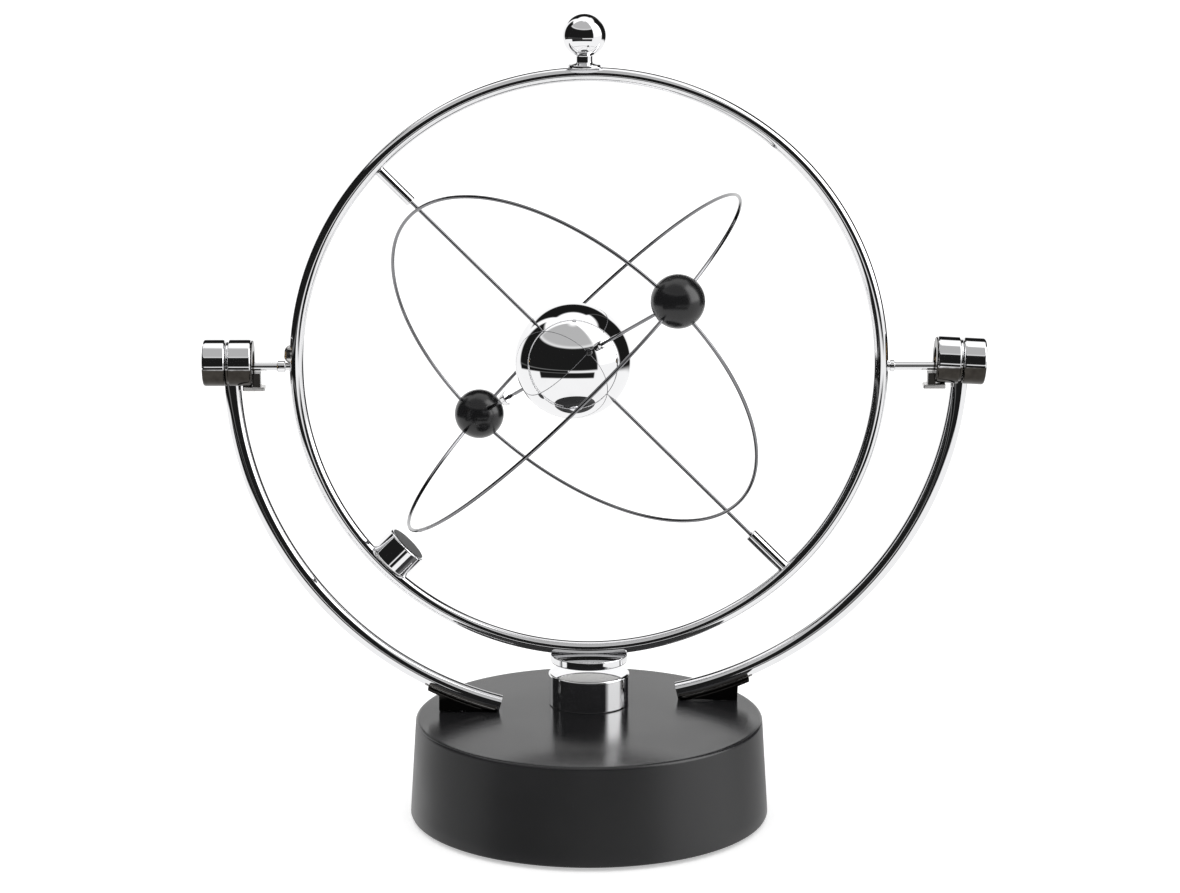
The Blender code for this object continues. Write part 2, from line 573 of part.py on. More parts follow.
def make_magnet_disc(pivot, mats):
    """A shallow cup hooked under the ring, open below, with the drive magnet in it."""
    top = DISC_BOTTOM + DISC_HEIGHT
    edge = 0.3 * MM
    inner_r = DISC_R - 0.7 * MM
    ceiling = DISC_BOTTOM + 1.1 * MM
    cup = [
        (0.0, top), (DISC_R - edge, top), (DISC_R, top - edge), (DISC_R, DISC_BOTTOM + edge),
        (DISC_R - edge, DISC_BOTTOM), (inner_r, DISC_BOTTOM), (inner_r, ceiling), (0.0, ceiling),
    ]
    disc = add_object("magnet_holder", turned(cup, 28), mats["chrome"], parent=pivot)
    combine(disc, ring_groove("disc_groove", pivot, mats))
    magnet = cylinder(inner_r - GAP, DISC_BOTTOM + GAP, ceiling - GAP, 20)
    add_object("drive_magnet", magnet, mats["magnet"], parent=pivot)


def make_side_magnet(pivot, mats):
    """A chrome pot on the inside of the ring, in the plane of the balls' path, with its magnet."""
    near, far = SIDE_HOUSING_SPAN
    edge = 0.6 * MM
    inner_r = SIDE_HOUSING_R - 0.8 * MM
    rim = [(SIDE_HOUSING_R - edge + edge * math.sin(a), near + edge - edge * math.cos(a)) for a in QUARTER]
    cup = [(0.0, near)] + rim + [
        (SIDE_HOUSING_R, far), (inner_r, far), (inner_r, near + 0.8 * MM), (0.0, near + 0.8 * MM),
    ]
    place = along(MAGNET_DIRECTION)
    add_object("side_magnet_housing", turned(cup, 24), mats["chrome"], parent=pivot, rotation=place)
    magnet = cylinder(inner_r - GAP, near + 0.9 * MM, far - 1.2 * MM, 18)
    add_object("side_magnet", magnet, mats["magnet"], parent=pivot, rotation=place)


def make_sleeves(axis, mats):
    """Two tubes on the ring hold the axle's ends; the axle's frame has +Z down its length."""
    far = 76.8 * MM
    for side, word, end in ((-1, "upper", SLEEVE_END), (1, "lower", SLEEVE_END - 1.0 * MM)):
        radius = (1.5 if side < 0 else 1.75) * MM
        low = end - side * ROTOR_SHIFT
        high = far - side * ROTOR_SHIFT
        profile = [
            (AXLE_R + 0.08 * MM, low), (radius - 0.3 * MM, low), (radius, low + 0.3 * MM), (radius, high),
            (AXLE_R + 0.08 * MM, high),
        ]
        sleeve = [(r, side * z) for r, z in profile]
        add_object(f"axle_sleeve_{word}", turned(sleeve, 14), mats["chrome"], parent=axis)


def make_rotor(spin, mats):
    """Rotor pieces in the axle's frame: +Z down the axle, +X to the near ball."""
    axle = rounded_cylinder(AXLE_R, -AXLE_HALF - ROTOR_SHIFT, AXLE_HALF - ROTOR_SHIFT, 0.15 * MM, 10, 1)
    add_object("axle", axle, mats["steel"], parent=spin)
    add_object("rotor_hub", tube(AXLE_R + 0.05 * MM, HUB_R, -4 * MM, 4 * MM, 14), mats["steel"], parent=spin)
    carrier = make_empty("ball_carrier", (0.0, 0.0, 0.0), Matrix.Rotation(-BALL_TILT, 3, "Y"), spin)
    make_sphere(spin, carrier, mats)
    for side, word, (inner, outer, collar_r) in ((1, "near", NEAR_FERRULE), (-1, "far", FAR_FERRULE)):
        outward = along((side, 0.0, 0.0))
        rod = cylinder(WIRE_R, HUB_R + 2 * GAP, BALL_ORBIT_R - BALL_R + 1.0 * MM, 8)
        add_object(f"cross_rod_{word}", rod, mats["chrome"], parent=carrier, rotation=outward)
        snug = WIRE_R + 0.05 * MM
        ferrule = [
            (snug, outer), (collar_r - 0.4 * MM, outer), (collar_r, outer - 0.8 * MM), (collar_r, inner), (snug, inner),
        ]
        add_object(f"ferrule_{word}", turned(ferrule, 12), mats["chrome"], parent=carrier, rotation=outward)
        make_ball(side, word, outward, carrier, mats)
    for word, span, start in ORBITS:
        half = orbit_half(span, start, WIRE_R, WIRE_STOP, 6)
        put_orbit(f"orbit_{word}", word, half, carrier, mats)


def make_sphere(spin, carrier, mats):
    """Two thin half shells that close over the hub; their seam is in the plane of the cross rods."""
    inner_r = SPHERE_R - SPHERE_WALL
    hole_r = AXLE_R + 0.15 * MM
    seam = 0.02 * MM
    for side, word in ((-1, "upper"), (1, "lower")):
        outside = ball_profile(SPHERE_R, math.asin(hole_r / SPHERE_R), math.acos(seam / SPHERE_R), 9)
        inside = ball_profile(inner_r, math.asin(hole_r / inner_r), math.acos(seam / inner_r), 4)
        half = [(r, side * z) for r, z in outside + inside[::-1]]
        shell = add_object(f"sphere_{word}", turned(half, 32), mats["chrome"], parent=spin)
        notch = cylinder(WIRE_R + 0.15 * MM, -20 * MM, 20 * MM, 10)
        cutter = add_object(f"sphere_notch_{word}", notch, mats["chrome"], parent=carrier,
                            rotation=along((1.0, 0.0, 0.0)))
        combine(shell, cutter)


def make_ball(side, word, outward, carrier, mats):
    """A black ball with a magnet pushed in from the rod's side, and a hole for each wire end."""
    at = (side * BALL_ORBIT_R, 0.0, 0.0)
    profile = ball_profile(BALL_R, 0.0, math.pi, 12)
    ball = add_object(f"ball_{word}", turned(profile, 22), mats["ball"], parent=carrier,
                      location=at, rotation=outward)
    pocket_r, pocket_top = 2.0 * MM, -1.5 * MM
    pocket = add_object(f"pocket_{word}", cylinder(pocket_r, -9 * MM, pocket_top, 12), mats["ball"],
                        parent=carrier, location=at, rotation=outward)
    combine(ball, pocket)
    for orbit, span, start in ORBITS:
        wire = orbit_half(span, start, WIRE_R + 0.15 * MM, WIRE_STOP - 0.3 * MM, 8)
        combine(ball, put_orbit(f"hole_{word}_{orbit}", orbit, wire, carrier, mats))
    magnet = cylinder(pocket_r - GAP, pocket_top - 4.0 * MM, pocket_top - GAP, 12)
    add_object(f"ball_magnet_{word}", magnet, mats["magnet"], parent=carrier, location=at, rotation=outward)


def orbit_half(span, start, radius, stop, sides):
    """Half of an oval wire in the XZ plane, from one ball to the other; it stops short of each ball's middle."""
    clear = math.asin(stop / span)
    steps = 36
    angles = [start + clear + (math.pi - 2 * clear) * i / steps for i in range(steps + 1)]
    centres = [Vector((BALL_ORBIT_R * math.cos(a), 0.0, span * math.sin(a))) for a in angles]
    headings = [Vector((-BALL_ORBIT_R * math.sin(a), 0.0, span * math.cos(a))).normalized() for a in angles]
    across = Vector((0.0, 1.0, 0.0))
    bm = bmesh.new()
    loops = []
    for centre, heading in zip(centres, headings):
        out = across.cross(heading)
        turns = [math.tau * i / sides for i in range(sides)]
        loops.append([bm.verts.new(centre + radius * (math.cos(t) * across + math.sin(t) * out)) for t in turns])
    for first, second in zip(loops, loops[1:]):
        for i in range(sides):
            j = (i + 1) % sides
            bm.faces.new((first[i], first[j], second[j], second[i]))
    bm.faces.new(loops[0][::-1])
    bm.faces.new(loops[-1])
    return bm


def put_orbit(name, word, bm, carrier, mats):
    """The meridian runs beside the axle in the carrier's XZ plane, and the equator lies in its XY plane."""
    if word.startswith("meridian"):
        return add_object(name, bm, mats["chrome"], parent=carrier, location=(0.0, MERIDIAN_ASIDE, 0.0))
    return add_object(name, bm, mats["chrome"], parent=carrier, rotation=Matrix.Rotation(math.pi / 2, 3, "X"))


def main():
    clear_scene()
    mats = base_materials()
    make_base_shell(mats)
    make_base_plate(mats)
    make_battery_door(mats)
    make_battery_bay(mats)
    make_electronics(mats)
    make_switch(mats)
    make_coil(mats)
    for side, word in SIDES:
        make_arm(side, word, mats)
        make_bearing(side, word, mats)
    pivot = make_empty("ring_pivot", (0.0, 0.0, RING_CENTRE_Z))
    make_ring(pivot, mats)
    centre = AXLE_DIRECTION * ROTOR_SHIFT + MAGNET_DIRECTION * AXLE_OFFSET
    near = -math.cos(ROTOR_TURN) * MAGNET_DIRECTION - math.sin(ROTOR_TURN) * Vector((0.0, 1.0, 0.0))
    across = AXLE_DIRECTION.cross(near)
    frame = Matrix((near, across, AXLE_DIRECTION)).transposed()
    spin = make_empty("rotor_axis", centre, frame, pivot)
    make_sleeves(spin, mats)
    make_rotor(spin, mats)
    for obj in bpy.data.objects:
        if obj.parent is None:
            obj.location.x -= ORIGIN_X


main()
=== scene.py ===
import json
import math

import bmesh
import bpy
from mathutils import Matrix, Vector


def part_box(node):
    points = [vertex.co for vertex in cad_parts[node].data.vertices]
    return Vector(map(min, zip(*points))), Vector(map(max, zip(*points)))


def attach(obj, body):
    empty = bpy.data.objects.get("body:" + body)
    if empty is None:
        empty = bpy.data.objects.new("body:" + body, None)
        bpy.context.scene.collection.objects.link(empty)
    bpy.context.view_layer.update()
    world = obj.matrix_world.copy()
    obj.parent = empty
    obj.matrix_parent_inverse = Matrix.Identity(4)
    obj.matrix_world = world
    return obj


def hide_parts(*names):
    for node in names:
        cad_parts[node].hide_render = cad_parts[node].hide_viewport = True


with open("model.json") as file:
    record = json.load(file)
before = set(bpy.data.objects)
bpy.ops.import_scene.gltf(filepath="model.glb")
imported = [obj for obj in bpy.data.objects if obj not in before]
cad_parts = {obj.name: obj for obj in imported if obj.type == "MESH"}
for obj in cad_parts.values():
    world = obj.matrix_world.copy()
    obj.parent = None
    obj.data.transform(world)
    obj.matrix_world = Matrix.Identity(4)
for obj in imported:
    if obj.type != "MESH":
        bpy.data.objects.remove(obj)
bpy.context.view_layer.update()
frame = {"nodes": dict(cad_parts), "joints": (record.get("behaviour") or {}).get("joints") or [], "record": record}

# ---------- sizes ----------

MM = 0.001
JOINTS = {joint["name"]: joint for joint in frame["joints"]}
PIVOT = Vector(JOINTS["ring_swing"]["pos_m"])
ROTOR = Vector(JOINTS["rotor_spin"]["pos_m"])
AXLE = Vector(JOINTS["rotor_spin"]["axis"])
DOWN_LEFT = Vector((-math.sqrt(0.5), 0.0, -math.sqrt(0.5)))
SIDES = ((-1, "left"), (1, "right"))

SHELL_LOW, SHELL_HIGH = (Vector(corner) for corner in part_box("base_shell"))
BASE_CENTRE = Vector(((SHELL_LOW.x + SHELL_HIGH.x) / 2, (SHELL_LOW.y + SHELL_HIGH.y) / 2, 0.0))
BASE_TOP = SHELL_HIGH.z
BASE_BOTTOM_R = (SHELL_HIGH.x - SHELL_LOW.x) / 2
BASE_TOP_R = 47.2 * MM
BASE_WALL = 2.0 * MM
BASE_RIM = 0.9 * MM
BASE_ROOF = 2.2 * MM
CUP_WALL = 0.9 * MM
RING_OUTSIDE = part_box("outer_ring")[1][0] - PIVOT.x
RING_ROD_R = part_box("outer_ring")[1][1]
RING_R = RING_OUTSIDE - RING_ROD_R
ARM_R = 96.3 * MM
ARM_ROD_R = 2.3 * MM
ARM_INNER_X = 24.2 * MM
ARM_FOOT_X = 35.5 * MM
ARM_LEAN = {"left": math.radians(-3.7), "right": math.radians(3.1)}
ARM_SPLAY = {"left": 0.0, "right": math.radians(2.4)}
HOUSING_R = 6.35 * MM
HOUSING_HALF = 6.6 * MM
HOUSING_X = {"left": 97.4 * MM, "right": 100.3 * MM}
HOUSING_UP = {"left": 1.1 * MM, "right": 1.6 * MM}
HOUSING_TILT = {"left": 0.0, "right": math.radians(3.0)}
HOUSING_BORE_R = 4.4 * MM
HOUSING_MOUTH_R = 3.2 * MM
HOUSING_GROOVE = 0.45 * MM
HOUSING_STEP = 0.35 * MM
PIN_R = 1.1 * MM
PIN_COLLAR_R = 1.6 * MM
PIN_COLLARS = {"left": (81.9 * MM, 84.0 * MM), "right": (81.3 * MM, 82.5 * MM)}
PIN_ROOT = 80.6 * MM
PIN_INSIDE = 5.0 * MM
SPHERE_R = 15.75 * MM
SPHERE_WALL = 0.9 * MM
BALL_R = 7.0 * MM
BALL_BOSS_R = 1.1 * MM
BALL_ORBIT_R = 60.8 * MM
BALL_TILT = math.radians(1.1)
MERIDIAN_SPAN = 58.7 * MM
EQUATOR_SPAN = 63.5 * MM
MERIDIAN_ASIDE = 1.15 * MM
WIRE_R = 0.5 * MM
AXLE_HALF = 74.0 * MM
SLEEVE_BORE_R = 0.58 * MM
SLEEVE_ROOT = 77.3 * MM
COLLAR_BORE_R = 0.55 * MM
ROTOR_TURN = math.radians(53.0)
NEAR = -math.cos(ROTOR_TURN) * DOWN_LEFT - math.sin(ROTOR_TURN) * Vector((0.0, 1.0, 0.0))
ROTOR_FRAME = Matrix.Translation(ROTOR) @ Matrix((NEAR, AXLE.cross(NEAR), AXLE)).transposed().to_4x4()
CARRIER_FRAME = ROTOR_FRAME @ Matrix.Rotation(-BALL_TILT, 4, "Y")
ON_AXIS = 1e-7
SHARP_ANGLE = math.radians(40.0)
BEVEL_ANGLE = math.radians(30.0)
NEARLY_STRAIGHT = math.radians(172.0)

# ---------- looks ----------

WHITE = (1.0, 1.0, 1.0, 1.0)
POLISHING_STRETCH = (1.0, 1.0, 0.06)
TURNING_STRETCH = (1.0, 1.0, 0.05)
COPPER_TURN = 0.22 * MM
CELL_BAND_AT = 11.8 * MM
CELL_BAND_REACH = 17.8 * MM

# What the chrome reflects: azimuth and height bounds in degrees, softness of the edge, brightness.
STUDIO_PATCHES = (
    (((-95, 50), (37, 84)), 5.0, 0.5),
    (((-70, 43), (-24, -13)), 1.5, 0.012),
    (((-125, -10), (-13.5, -8.5)), 1.0, 0.006),
    (((-104, 49), (-9, 35)), 2.0, 0.012),
    (((-128, -96), (-10, 46)), 3.0, 0.01),
    (((56, 100), (2, 62)), 4.0, 3.5),
    (((104, 152), (-14, 52)), 3.0, 0.01),
    (((150, 200), (20, 58)), 3.0, 0.01),
    (((-200, -140), (20, 58)), 3.0, 0.01),
)
FLOOR_R = 3.0
FLOOR_GLOW = 0.4
CAMERA_LENS = 108.3
CAMERA_SENSOR = 36.0
CAMERA_FROM_PIVOT = Vector((-5.1, -940.0, 188.9)) * MM
CAMERA_AIM_FROM_PIVOT = Vector((0.3, 0.0, -22.2)) * MM


# ---------- node helpers ----------

def node(tree, kind, **settings):
    made = tree.nodes.new(kind)
    for name, value in settings.items():
        setattr(made, name, value)
    return made


def feed(tree, socket, value):
    """Links another node's output to a socket, or sets a constant on it."""
    if isinstance(value, bpy.types.NodeSocket):
        tree.links.new(value, socket)
    else:
        socket.default_value = value


def calc(tree, operation, *values):
    made = node(tree, "ShaderNodeMath", operation=operation)
    for socket, value in zip(made.inputs, values):
        feed(tree, socket, value)
    return made.outputs[0]


def smooth_step(tree, value, low, high, to_low=0.0, to_high=1.0):
    """A soft change from one level to another as the value goes from low to high."""
    made = node(tree, "ShaderNodeMapRange", interpolation_type="SMOOTHSTEP")
    for socket, item in zip(made.inputs, (value, low, high, to_low, to_high)):
        feed(tree, socket, item)
    return made.outputs[0]


def noise(tree, vector, scale, detail=3.0, roughness=0.5, stretch=None):
    made = node(tree, "ShaderNodeTexNoise")
    if stretch is not None:
        mapping = node(tree, "ShaderNodeMapping")
        feed(tree, mapping.inputs["Vector"], vector)
        mapping.inputs["Scale"].default_value = stretch
        vector = mapping.outputs[0]
    feed(tree, made.inputs["Vector"], vector)
    made.inputs["Scale"].default_value = scale
    made.inputs["Detail"].default_value = detail
    made.inputs["Roughness"].default_value = roughness
    return made.outputs["Fac"]


def mix_colours(tree, factor, first, second):
    made = node(tree, "ShaderNodeMix", data_type="RGBA")
    feed(tree, made.inputs["Factor"], factor)
    feed(tree, made.inputs[6], first)
    feed(tree, made.inputs[7], second)
    return made.outputs[2]


def bump(tree, height, strength, distance):
    made = node(tree, "ShaderNodeBump")
    made.inputs["Strength"].default_value = strength
    made.inputs["Distance"].default_value = distance
    feed(tree, made.inputs["Height"], height)
    return made.outputs[0]


def start_material(name, preview):
    """A new material with its tree, its Principled shader and the object's own coordinates."""
    material = bpy.data.materials.new(name)
    material.use_nodes = True
    material.diffuse_color = (*preview, 1.0)
    tree = material.node_tree
    shader = tree.nodes["Principled BSDF"]
    place = node(tree, "ShaderNodeTexCoord").outputs["Object"]
    return material, tree, shader, place


# ---------- materials ----------

def chrome(name, colour=(0.86, 0.86, 0.87), low=0.025, high=0.11, wave=0.12):
    """Bright plate: faint haze, fine polishing lines, and the long soft ripple of a plated surface."""
    material, tree, shader, place = start_material(name, colour)
    haze = noise(tree, place, 90.0, 4.0, 0.6)
    lines = noise(tree, place, 2600.0, 2.0, 0.5, POLISHING_STRETCH)
    worn = smooth_step(tree, haze, 0.52, 0.78)
    wear = calc(tree, "ADD", worn, calc(tree, "MULTIPLY", lines, 0.25))
    roughness = smooth_step(tree, wear, 0.0, 1.4, low, high)
    dark = tuple(channel * 0.93 for channel in colour)
    feed(tree, shader.inputs["Base Color"], mix_colours(tree, worn, (*colour, 1.0), (*dark, 1.0)))
    shader.inputs["Metallic"].default_value = 1.0
    feed(tree, shader.inputs["Roughness"], roughness)
    ripple = noise(tree, place, 140.0, 1.0, 0.4)
    feed(tree, shader.inputs["Normal"], bump(tree, ripple, wave, 0.12 * MM))
    return material


def housing_painted_reflection(name, heights):
    """Chrome plate with a painted dark reflection: a near-black colour laid over the lower half of each housing,
    below the given heights, with a cloudy edge.
    """
    material = chrome(name)
    tree = material.node_tree
    shader = tree.nodes["Principled BSDF"]
    place = node(tree, "ShaderNodeTexCoord").outputs["Object"]
    split = node(tree, "ShaderNodeSeparateXYZ")
    feed(tree, split.inputs[0], place)
    left, right = heights
    axis = smooth_step(tree, split.outputs[0], -20.0 * MM, 20.0 * MM, left, right)
    cloud = noise(tree, place, 420.0, 4.0, 0.6)
    below = calc(tree, "SUBTRACT", axis, split.outputs[2])
    wavy = calc(tree, "ADD", below, calc(tree, "MULTIPLY", cloud, 0.6 * MM))
    # Mask of the painted dark reflection: the housing a little below its axis height.
    painted_reflection_mask = smooth_step(tree, wavy, 0.7 * MM, 1.4 * MM)
    bright = shader.inputs["Base Color"].links[0].from_socket
    # Near-black colour painted there, standing for a dark reflection rather than a finish.
    painted_dark_reflection = mix_colours(tree, cloud, (0.016, 0.014, 0.012, 1.0), (0.075, 0.068, 0.06, 1.0))
    feed(tree, shader.inputs["Base Color"], mix_colours(tree, painted_reflection_mask, bright, painted_dark_reflection))
    return material


def moulded(name, dark, light, rough, grain_scale=5200.0, grain=0.25):
    """Black plastic with a fine sparked grain, slight flow marks and paler dust."""
    material, tree, shader, place = start_material(name, dark)
    flow = noise(tree, place, 34.0, 4.0, 0.55)
    dust = smooth_step(tree, noise(tree, place, 900.0, 3.0, 0.7), 0.62, 0.8)
    mixed = calc(tree, "MAXIMUM", calc(tree, "MULTIPLY", flow, 0.5), dust)
    feed(tree, shader.inputs["Base Color"], mix_colours(tree, mixed, (*dark, 1.0), (*light, 1.0)))
    feed(tree, shader.inputs["Roughness"], smooth_step(tree, flow, 0.3, 0.7, rough - 0.035, rough + 0.045))
    fine = noise(tree, place, grain_scale, 2.0, 0.6)
    feed(tree, shader.inputs["Normal"], bump(tree, fine, grain, 0.04 * MM))
    return material


def base_moulding(name):
    """Black moulding whose top is smoother than its sides; the change follows the rim."""
    material = moulded(name, (0.010, 0.010, 0.011), (0.022, 0.022, 0.023), 0.36, 5200.0, 0.14)
    tree = material.node_tree
    shader = tree.nodes["Principled BSDF"]
    split = node(tree, "ShaderNodeSeparateXYZ")
    feed(tree, split.inputs[0], node(tree, "ShaderNodeTexCoord").outputs["Object"])
    up = smooth_step(tree, split.outputs[2], BASE_TOP - 0.9 * MM, BASE_TOP - 0.1 * MM)
    side = shader.inputs["Roughness"].links[0].from_socket
    top = calc(tree, "MULTIPLY", side, calc(tree, "SUBTRACT", 1.0, calc(tree, "MULTIPLY", up, 0.5)))
    feed(tree, shader.inputs["Roughness"], top)
    return material


def plain_metal(name, colour, rough):
    """Bare metal with turning or rolling lines."""
    material, tree, shader, place = start_material(name, colour)
    lines = noise(tree, place, 3000.0, 3.0, 0.6, TURNING_STRETCH)
    patch = noise(tree, place, 250.0, 3.0, 0.5)
    dark = tuple(channel * 0.78 for channel in colour)
    feed(tree, shader.inputs["Base Color"], mix_colours(tree, patch, (*colour, 1.0), (*dark, 1.0)))
    shader.inputs["Metallic"].default_value = 1.0
    feed(tree, shader.inputs["Roughness"], smooth_step(tree, lines, 0.3, 0.7, rough - 0.07, rough + 0.08))
    feed(tree, shader.inputs["Normal"], bump(tree, lines, 0.3, 0.03 * MM))
    return material


def winding_copper(name):
    """Enamelled wire: close turns around Z."""
    material, tree, shader, place = start_material(name, (0.7, 0.3, 0.12))
    split = node(tree, "ShaderNodeSeparateXYZ")
    feed(tree, split.inputs[0], place)
    turns = calc(tree, "SINE", calc(tree, "MULTIPLY", split.outputs[2], math.tau / COPPER_TURN))
    tone = smooth_step(tree, turns, -1.0, 1.0)
    colour = mix_colours(tree, tone, (0.28, 0.09, 0.03, 1.0), (0.75, 0.33, 0.13, 1.0))
    feed(tree, shader.inputs["Base Color"], colour)
    shader.inputs["Metallic"].default_value = 0.9
    feed(tree, shader.inputs["Roughness"], smooth_step(tree, tone, 0.0, 1.0, 0.45, 0.28))
    feed(tree, shader.inputs["Normal"], bump(tree, turns, 0.6, 0.08 * MM))
    return material


def board_green(name):
    """Solder mask over a grid of copper tracks."""
    material, tree, shader, place = start_material(name, (0.02, 0.2, 0.08))
    brick = node(tree, "ShaderNodeTexBrick")
    feed(tree, brick.inputs["Vector"], place)
    brick.inputs["Scale"].default_value = 320.0
    brick.inputs["Mortar Size"].default_value = 0.12
    colour = mix_colours(tree, brick.outputs["Fac"], (0.015, 0.16, 0.06, 1.0), (0.04, 0.3, 0.12, 1.0))
    feed(tree, shader.inputs["Base Color"], colour)
    fuzz = noise(tree, place, 700.0)
    feed(tree, shader.inputs["Roughness"], smooth_step(tree, fuzz, 0.3, 0.7, 0.3, 0.45))
    feed(tree, shader.inputs["Normal"], bump(tree, brick.outputs["Fac"], 0.4, 0.05 * MM))
    return material


def cell_jacket(name):
    """A plastic sleeve with one plain band of another colour near the positive end."""
    material, tree, shader, place = start_material(name, (0.08, 0.09, 0.2))
    split = node(tree, "ShaderNodeSeparateXYZ")
    feed(tree, split.inputs[0], place)
    along = calc(tree, "ABSOLUTE", calc(tree, "ADD", split.outputs[1], CELL_BAND_AT))
    band = smooth_step(tree, along, CELL_BAND_REACH, CELL_BAND_REACH + 0.2 * MM)
    fuzz = noise(tree, place, 500.0)
    blue = mix_colours(tree, fuzz, (0.03, 0.04, 0.12, 1.0), (0.05, 0.06, 0.17, 1.0))
    feed(tree, shader.inputs["Base Color"], mix_colours(tree, band, blue, (0.55, 0.5, 0.42, 1.0)))
    feed(tree, shader.inputs["Roughness"], smooth_step(tree, fuzz, 0.3, 0.7, 0.26, 0.38))
    feed(tree, shader.inputs["Normal"], bump(tree, fuzz, 0.1, 0.05 * MM))
    return material


MATERIALS = {
    "chrome": chrome("chrome_plate"),
    "mirror": chrome("chrome_mirror", (0.9, 0.9, 0.91), 0.008, 0.03, 0.03),
    # Housing chrome whose lower halves carry a painted dark reflection.
    "housing": housing_painted_reflection("housing_painted_reflection", [PIVOT.z + up for up in HOUSING_UP.values()]),
    "wire": chrome("wire_bright", (0.24, 0.24, 0.25), 0.05, 0.16, 0.1),
    # Near-black plate: on the arm feet its darkness is a painted dark reflection.
    "near_black": chrome("near_black_plate", (0.05, 0.047, 0.044), 0.16, 0.3, 0.3),
    "braze": chrome("plated_braze", (0.62, 0.61, 0.6), 0.16, 0.36, 0.8),
    "base": base_moulding("base_plastic"),
    "inner": moulded("inner_plastic", (0.018, 0.018, 0.019), (0.045, 0.045, 0.046), 0.45, 3800.0, 0.35),
    "ball": moulded("ball_plastic", (0.006, 0.006, 0.0065), (0.014, 0.014, 0.015), 0.2, 4200.0, 0.08),
    "rubber": moulded("rubber_grey", (0.03, 0.03, 0.03), (0.09, 0.09, 0.085), 0.75, 2500.0, 0.5),
    "steel": plain_metal("steel_bare", (0.55, 0.55, 0.57), 0.3),
    "nickel": plain_metal("nickel_plate", (0.66, 0.655, 0.64), 0.24),
    "bronze": plain_metal("bush_bronze", (0.62, 0.42, 0.2), 0.36),
    "copper": winding_copper("winding_copper"),
    "board": board_green("board_green"),
    "cell": cell_jacket("cell_jacket"),
    "bobbin": moulded("bobbin_white", (0.62, 0.61, 0.57), (0.74, 0.73, 0.69), 0.5, 2600.0, 0.2),
}
SLOT_MATERIAL = {
    "black_plastic": "inner", "chrome": "chrome", "ball_black": "ball", "rubber": "rubber", "steel": "steel",
    "nickel": "nickel", "copper": "copper", "bronze": "bronze", "board": "board", "cell_jacket": "cell",
    "bobbin": "bobbin",
}


def dress_cad_nodes():
    """Every CAD node gets its procedural material; the ones replaced below aren't shown."""
    for part in frame["record"]["subparts"]:
        obj = frame["nodes"][part["node"]]
        material = MATERIALS[SLOT_MATERIAL[part["material_slot"]]]
        obj.data.materials.clear()
        obj.data.materials.append(material)
        for polygon in obj.data.polygons:
            polygon.material_index = 0


# ---------- mesh helpers ----------

def piece(name, bm, material, body, *replaced, bevel=None):
    """A mesh piece with weighted normals, riding on a body and standing for CAD nodes."""
    bmesh.ops.recalc_face_normals(bm, faces=bm.faces[:])
    mesh = bpy.data.meshes.new(name)
    bm.to_mesh(mesh)
    bm.free()
    mesh.shade_smooth()
    mesh.set_sharp_from_angle(angle=SHARP_ANGLE)
    mesh.materials.append(MATERIALS[material])
    obj = bpy.data.objects.new(name, mesh)
    bpy.context.scene.collection.objects.link(obj)
    if bevel:
        modifier = obj.modifiers.new("edges", "BEVEL")
        modifier.width = bevel
        modifier.segments = 3
        modifier.limit_method = "ANGLE"
        modifier.angle_limit = BEVEL_ANGLE
        modifier.harden_normals = True
    weighted = obj.modifiers.new("weighted", "WEIGHTED_NORMAL")
    weighted.keep_sharp = True
    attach(obj, body)
    if replaced:
        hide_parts(*replaced)


def rounded(points, radius, steps=4):
    """The outline with each corner between its two ends turned into an arc; points on the axis stay."""
    out = [points[0]]
    for before, corner, after in zip(points, points[1:], points[2:]):
        here = Vector(corner)
        back, on = Vector(before) - here, Vector(after) - here
        reach = min(radius, 0.45 * back.length, 0.45 * on.length)
        turn = back.angle(on, 0.0)
        if corner[0] < ON_AXIS or reach < MM / 1000 or turn > NEARLY_STRAIGHT:
            out.append(corner)
            continue
        start, end = here + back.normalized() * reach, here + on.normalized() * reach
        for step in range(steps + 1):
            t = step / steps
            out.append(tuple((1 - t) ** 2 * start + 2 * t * (1 - t) * here + t ** 2 * end))
    out.append(points[-1])
    return out


def turned(points, matrix, segments=96):
    """A solid turned about Z from (radius, height) points, moved by a matrix."""
    bm = bmesh.new()
    closed = points[0][0] > ON_AXIS or points[-1][0] > ON_AXIS
    rings = []
    for radius, height in points:
        if radius < ON_AXIS:
            rings.append([bm.verts.new(matrix @ Vector((0.0, 0.0, height)))])
            continue
        angles = [math.tau * i / segments for i in range(segments)]
        rings.append([bm.verts.new(matrix @ Vector((radius * math.cos(a), radius * math.sin(a), height)))
                      for a in angles])
    pairs = list(zip(rings, rings[1:])) + ([(rings[-1], rings[0])] if closed else [])
    for first, second in pairs:
        for i in range(segments):
            j = (i + 1) % segments
            corners = [first[i % len(first)], first[j % len(first)]]
            corners += [second[j % len(second)], second[i % len(second)]]
            unique = list(dict.fromkeys(corners))
            if len(unique) > 2:
                bm.faces.new(unique)
    return bm


def swept(centres, radius, matrix, sides=20, closed=False, into=None):
    """A round rod along points of a curve in the local XZ plane, with flat ends unless it closes."""
    bm = bmesh.new() if into is None else into
    across = Vector((0.0, 1.0, 0.0))
    loops = []
    count = len(centres)
    for index, point in enumerate(centres):
        if closed:
            ahead, behind = centres[(index + 1) % count], centres[index - 1]
        else:
            ahead, behind = centres[min(index + 1, count - 1)], centres[max(index - 1, 0)]
        normal = across.cross((ahead - behind).normalized())
        angles = [math.tau * i / sides for i in range(sides)]
        loops.append([bm.verts.new(matrix @ (point + radius * (math.cos(a) * across + math.sin(a) * normal)))
                      for a in angles])
    pairs = list(zip(loops, loops[1:])) + ([(loops[-1], loops[0])] if closed else [])
    for first, second in pairs:
        for i in range(sides):
            j = (i + 1) % sides
            bm.faces.new((first[i], first[j], second[j], second[i]))
    if not closed:
        bm.faces.new(loops[0][::-1])
        bm.faces.new(loops[-1])
    return bm


